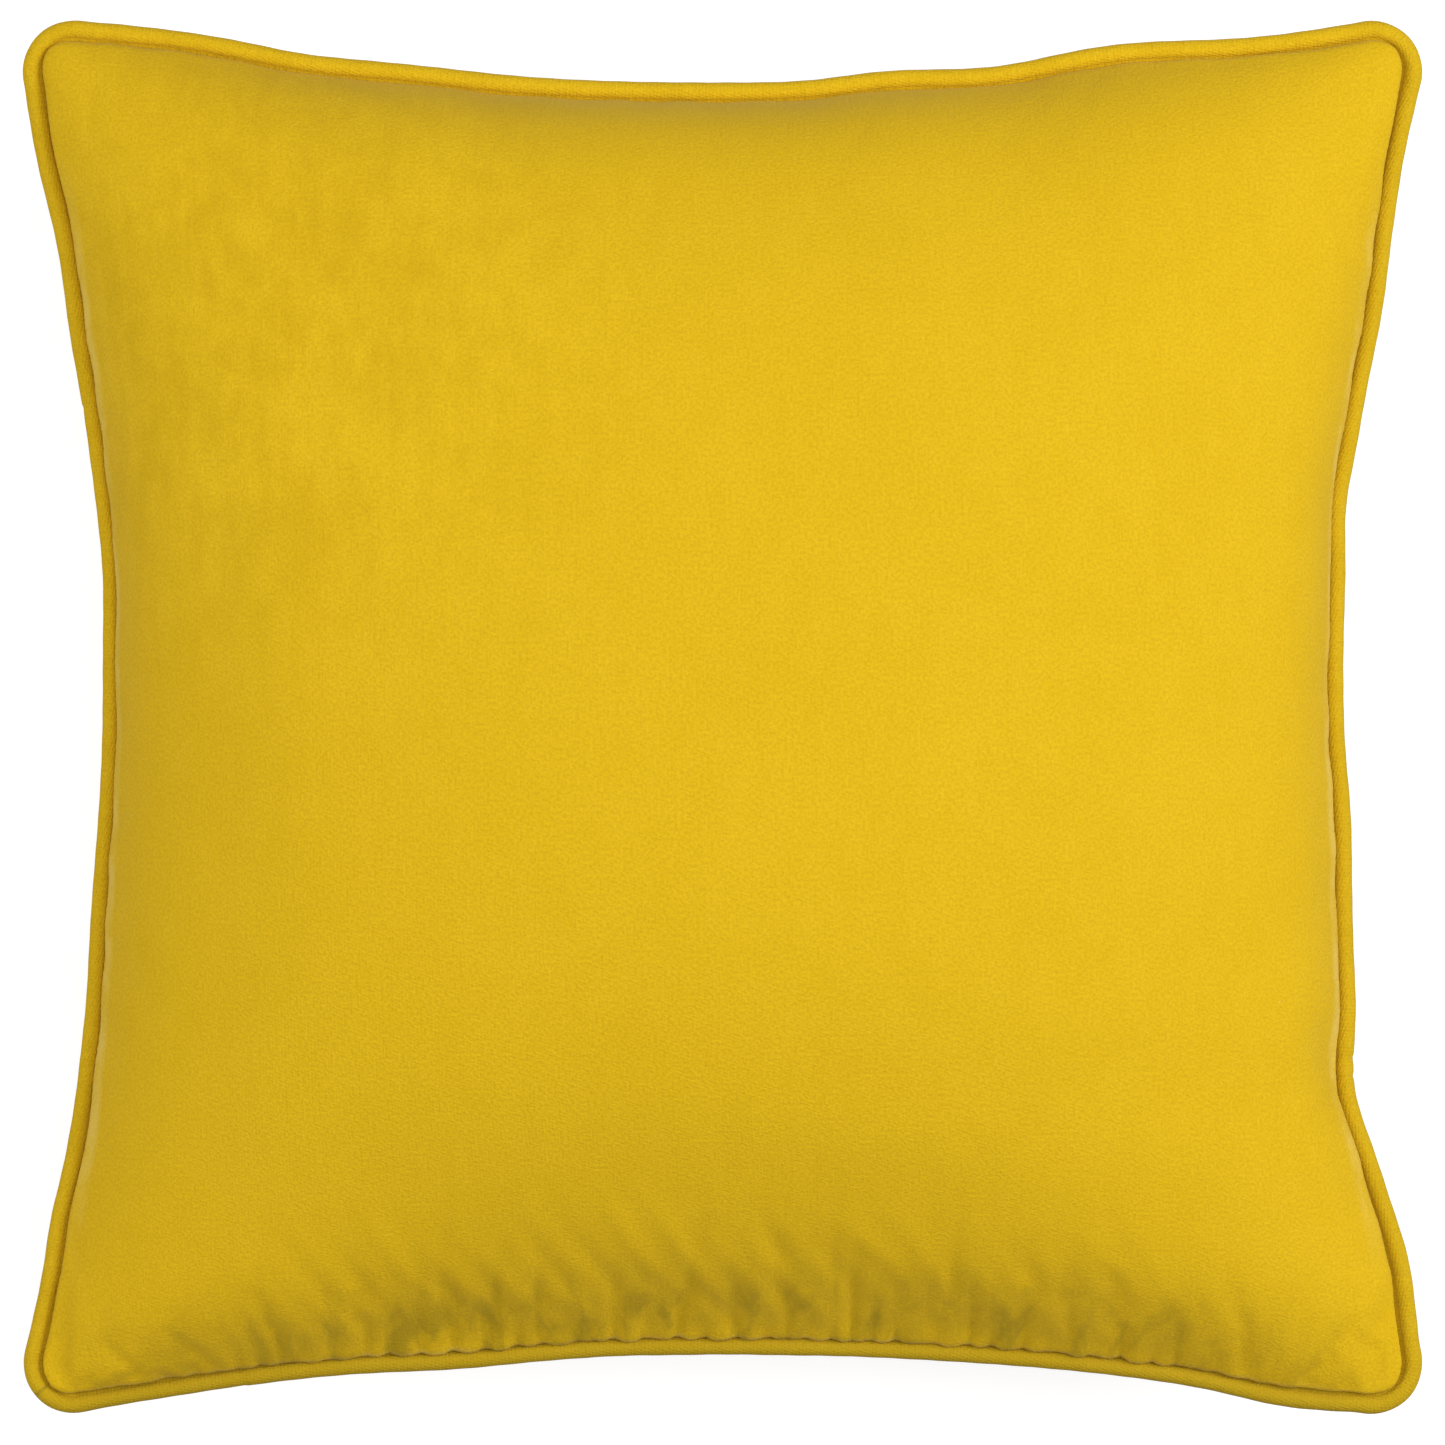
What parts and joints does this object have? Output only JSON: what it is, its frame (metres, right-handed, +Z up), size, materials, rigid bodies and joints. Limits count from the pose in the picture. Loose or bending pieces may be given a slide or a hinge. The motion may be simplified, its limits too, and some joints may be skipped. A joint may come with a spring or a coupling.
{
  "type": "throw pillow",
  "caption": "Square velvet throw pillow with self-piped edges and a concealed bottom zip, over a stuffed pad.",
  "frame": {"origin": "on the surface that the pillow lies on, below the middle of its outline", "axes": "+Z up out of the front face, -Y towards the edge with the zip, +X to the right seen from the front with the zip edge down"},
  "size_m": [0.4396, 0.4374, 0.146],
  "materials": {
    "velvet": "matte",
    "piping_velvet": "matte",
    "cord_cotton": "matte",
    "sewing_thread": "matte",
    "pad_thread": "matte",
    "label_satin": "satin",
    "zip_tape": "matte",
    "zip_coil": "satin",
    "zip_metal": "satin",
    "pad_cotton": "matte",
    "fibre_fill": "matte"
  },
  "bodies": {
    "cushion": {"cover_front": "velvet", "cover_back": "velvet", "piping_sleeve": "piping_velvet", "piping_cord": "cord_cotton", "cover_seam_thread": "sewing_thread", "cover_overlock_thread": "sewing_thread", "care_label": "label_satin", "zip_tape_front": "zip_tape", "zip_tape_back": "zip_tape", "zip_teeth_front": "zip_coil", "zip_teeth_back": "zip_coil", "zip_top_stops": "zip_metal", "zip_bottom_stop": "zip_metal", "zip_thread_front": "sewing_thread", "zip_thread_back": "sewing_thread", "zip_bar_tacks": "sewing_thread", "pad_casing_front": "pad_cotton", "pad_casing_back": "pad_cotton", "pad_filling": "fibre_fill", "pad_seam_thread": "pad_thread", "pad_closing_stitch": "pad_thread"},
    "zip_slider": {"zip_slider": "zip_metal"},
    "zip_pull": {"zip_pull": "zip_metal"}
  },
  "joints": [
    {"name": "zip_travel", "type": "hinge", "parent": "cushion", "child": "zip_slider", "pos_m": [0, -1.28866, 0.064], "axis": [0, 0, 1], "range_deg": [0, 14.83], "deforming": ["zip_teeth_front", "zip_teeth_back"]},
    {"name": "zip_pull_swing", "type": "hinge", "parent": "zip_slider", "child": "zip_pull", "pos_m": [0.14069, -0.2054, 0.0626], "axis": [-0.9917, 0.1288, 0], "range_deg": [-12, 120]}
  ]
}
